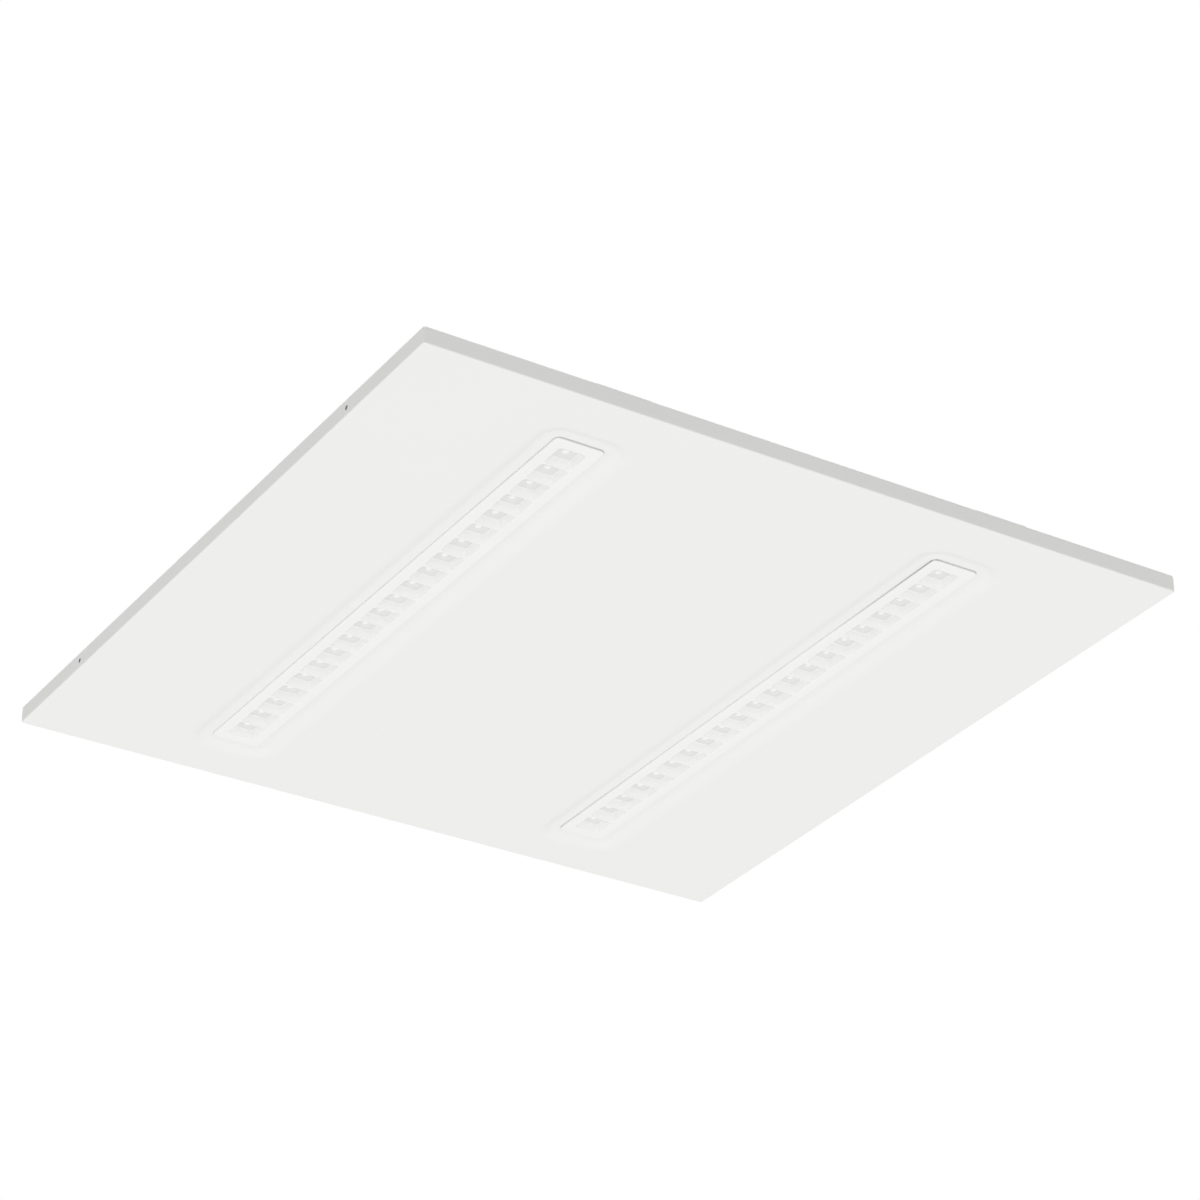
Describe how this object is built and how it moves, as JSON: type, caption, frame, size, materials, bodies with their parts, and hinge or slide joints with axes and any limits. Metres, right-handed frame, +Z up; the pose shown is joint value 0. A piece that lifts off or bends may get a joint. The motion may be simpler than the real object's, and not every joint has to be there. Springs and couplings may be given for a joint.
{
  "type": "modular ceiling light",
  "caption": "Flat square lay-in ceiling light with two long pressed recesses of small louvre cells over LED lenses, and a gear box with a hinged lid on its back.",
  "frame": {"origin": "centre of the visible underside of the square face, which is the plane that lies on the ceiling grid", "axes": "+Z up into the ceiling, Y along the two rows of cells, X across them"},
  "size_m": [0.595, 0.595, 0.0504],
  "materials": {
    "panel_white": "satin powder coat with a fine orange-peel",
    "louvre_white": "matt moulded white",
    "lens_clear": "clear, smooth",
    "board_white": "satin solder mask",
    "led_phosphor": "clear over a yellow phosphor",
    "pad_grey": "soft matt",
    "zinc_sheet": "galvanised, dull",
    "zinc_screw": "bright zinc",
    "connector_white": "satin",
    "driver_white": "fine grain",
    "driver_grey": "fine grain",
    "terminal_grey": "satin",
    "button_orange": "satin",
    "clamp_black": "satin",
    "grommet_rubber": "matt",
    "earth_brass": "plain",
    "wire_insulation": "satin",
    "earth_insulation": "satin",
    "clip_white": "satin"
  },
  "bodies": {
    "light": {"face_tray": "panel_white", "rail_screws": "zinc_screw", "gear_box": "zinc_sheet", "gear_box_screws": "zinc_screw", "gear_end_in": "zinc_sheet", "gear_end_out": "zinc_sheet", "hinge_pins": "zinc_screw", "driver_base": "driver_grey", "driver_cover": "driver_white", "driver_input_terminal": "terminal_grey", "driver_output_terminal": "terminal_grey", "driver_screws": "zinc_screw", "terminal_block": "terminal_grey", "clamp_base": "clamp_black", "cable_grommet_in": "grommet_rubber", "cable_grommet_out": "grommet_rubber", "earth_ring": "earth_brass", "earth_screw": "zinc_screw", "supply_wires": "wire_insulation", "earth_wire": "earth_insulation", "led_wires_left": "wire_insulation", "led_wires_right": "wire_insulation", "wire_clips": "clip_white", "louvre_left": "louvre_white", "lens_strip_left": "lens_clear", "led_board_left": "board_white", "led_packages_left": "led_phosphor", "thermal_pad_left": "pad_grey", "led_rail_left": "zinc_sheet", "board_connector_left": "connector_white", "louvre_right": "louvre_white", "lens_strip_right": "lens_clear", "led_board_right": "board_white", "led_packages_right": "led_phosphor", "thermal_pad_right": "pad_grey", "led_rail_right": "zinc_sheet", "board_connector_right": "connector_white"},
    "lid": {"gear_lid": "zinc_sheet"},
    "lid_fastener": {"lid_screw": "zinc_screw"},
    "clamp": {"clamp_saddle": "clamp_black", "clamp_screws": "zinc_screw"},
    "button_1": {"release_button_1": "button_orange"},
    "button_2": {"release_button_2": "button_orange"},
    "button_3": {"release_button_3": "button_orange"},
    "button_4": {"release_button_4": "button_orange"},
    "button_5": {"release_button_5": "button_orange"}
  },
  "joints": [
    {"name": "lid_hinge", "type": "hinge", "parent": "light", "child": "lid", "pos_m": [0, 0.0517, 0.046], "axis": [-1, 0, 0], "range_deg": [0, 105]},
    {"name": "lid_fastener_turn", "type": "hinge", "parent": "lid", "child": "lid_fastener", "pos_m": [0, -0.0425, 0.048], "axis": [0, 0, 1], "continuous": true},
    {"name": "clamp_lift", "type": "slide", "parent": "light", "child": "clamp", "axis": [0, 0, 1], "range_m": [0, 0.005]},
    {"name": "button_1_press", "type": "slide", "parent": "light", "child": "button_1", "axis": [0, 0, -1], "range_m": [0, 0.0012], "stiffness_N_per_m": 600, "springref_m": -0.0015},
    {"name": "button_2_press", "type": "slide", "parent": "light", "child": "button_2", "axis": [0, 0, -1], "range_m": [0, 0.0012], "stiffness_N_per_m": 600, "springref_m": -0.0015},
    {"name": "button_3_press", "type": "slide", "parent": "light", "child": "button_3", "axis": [0, 0, -1], "range_m": [0, 0.0012], "stiffness_N_per_m": 600, "springref_m": -0.0015},
    {"name": "button_4_press", "type": "slide", "parent": "light", "child": "button_4", "axis": [0, 0, -1], "range_m": [0, 0.0012], "stiffness_N_per_m": 600, "springref_m": -0.0015},
    {"name": "button_5_press", "type": "slide", "parent": "light", "child": "button_5", "axis": [0, 0, -1], "range_m": [0, 0.0012], "stiffness_N_per_m": 600, "springref_m": -0.0015}
  ]
}
